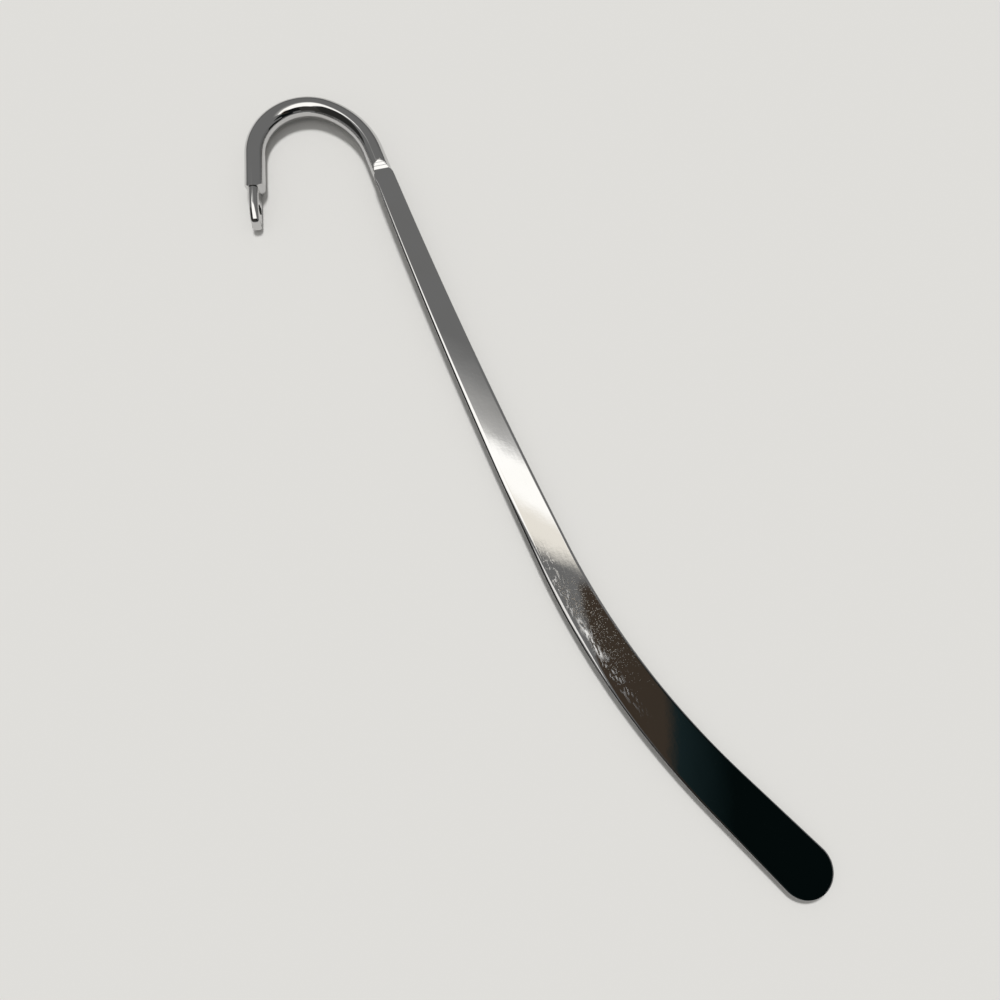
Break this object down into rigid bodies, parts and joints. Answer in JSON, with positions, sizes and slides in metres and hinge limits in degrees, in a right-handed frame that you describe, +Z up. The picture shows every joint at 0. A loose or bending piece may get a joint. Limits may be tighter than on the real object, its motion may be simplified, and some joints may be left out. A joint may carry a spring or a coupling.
{
  "type": "bookmark",
  "caption": "Metal bookmark: a round rod bent into an open crook with a pierced end, then pressed flat into a long tapering stem that widens into a curved, round-tipped blade.",
  "frame": {"origin": "bottom centre of the part's box, on the table that it lies on", "axes": "+Y along the stem toward the crook, +X toward the side that the blade bends to, +Z up from the table"},
  "size_m": [0.0374, 0.1208, 0.0028],
  "materials": {
    "plating": "mirror polished plate"
  },
  "bodies": {
    "root": {"hanging_eye": "plating", "crook": "plating", "neck": "plating", "stem": "plating", "blade": "plating"}
  },
  "joints": []
}
